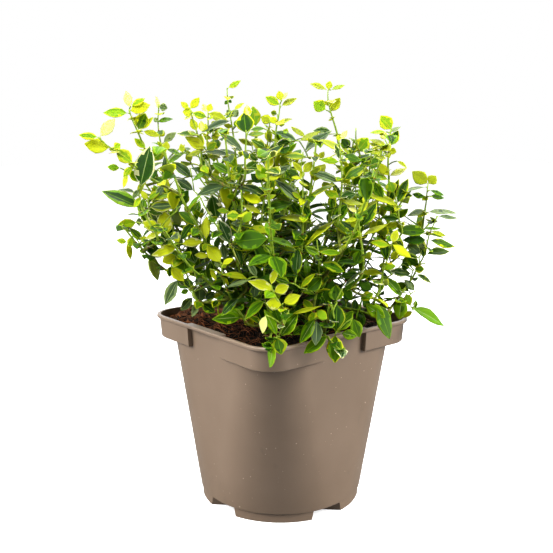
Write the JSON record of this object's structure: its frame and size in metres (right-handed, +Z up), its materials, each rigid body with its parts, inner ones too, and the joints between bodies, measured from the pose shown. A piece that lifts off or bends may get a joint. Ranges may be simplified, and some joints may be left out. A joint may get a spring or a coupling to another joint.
{
  "type": "potted wintercreeper shrub",
  "caption": "Variegated evergreen shrub with fanned stems and green and gold leaves, in a square-topped tapered nursery pot on feet, filled with potting mix.",
  "frame": {"origin": "on the pot's axis, under the middle of the whole plant, on the plane of the flat undersides of the pot's feet", "axes": "+Z up the pot's axis; +X and +Y square to the pot's flat sides, so its corners and feet lie on the diagonals"},
  "size_m": [0.3295, 0.306, 0.3621],
  "materials": {
    "pot_plastic": "satin",
    "potting_mix": "matt, coarse and fibrous",
    "root_bark": "matt",
    "stem_bark": "matt",
    "leaves": "satin"
  },
  "bodies": {
    "root": {"pot": "pot_plastic", "potting_mix": "potting_mix", "root_crown": "root_bark", "stem_heart_1": "stem_bark", "stem_upper_1": "stem_bark", "stem_upper_2": "stem_bark", "stem_upper_3": "stem_bark", "stem_upper_4": "stem_bark", "stem_upper_5": "stem_bark", "stem_outer_1": "stem_bark", "stem_outer_2": "stem_bark", "stem_outer_3": "stem_bark", "stem_outer_4": "stem_bark", "stem_outer_5": "stem_bark", "stem_outer_6": "stem_bark", "stem_outer_7": "stem_bark", "stem_outer_8": "stem_bark", "stem_lower_1": "stem_bark", "stem_lower_2": "stem_bark", "stem_lower_3": "stem_bark", "stem_lower_4": "stem_bark", "stem_lower_5": "stem_bark", "stem_lower_6": "stem_bark", "stem_skirt_1": "stem_bark", "stem_skirt_2": "stem_bark", "stem_skirt_3": "stem_bark", "stem_skirt_4": "stem_bark", "foliage_heart_1": "leaves", "foliage_upper_1": "leaves", "foliage_upper_2": "leaves", "foliage_upper_3": "leaves", "foliage_upper_4": "leaves", "foliage_upper_5": "leaves", "foliage_outer_1": "leaves", "foliage_outer_2": "leaves", "foliage_outer_3": "leaves", "foliage_outer_4": "leaves", "foliage_outer_5": "leaves", "foliage_outer_6": "leaves", "foliage_outer_7": "leaves", "foliage_outer_8": "leaves", "foliage_lower_1": "leaves", "foliage_lower_2": "leaves", "foliage_lower_3": "leaves", "foliage_lower_4": "leaves", "foliage_lower_5": "leaves", "foliage_lower_6": "leaves", "foliage_skirt_1": "leaves", "foliage_skirt_2": "leaves", "foliage_skirt_3": "leaves", "foliage_skirt_4": "leaves"}
  },
  "joints": []
}
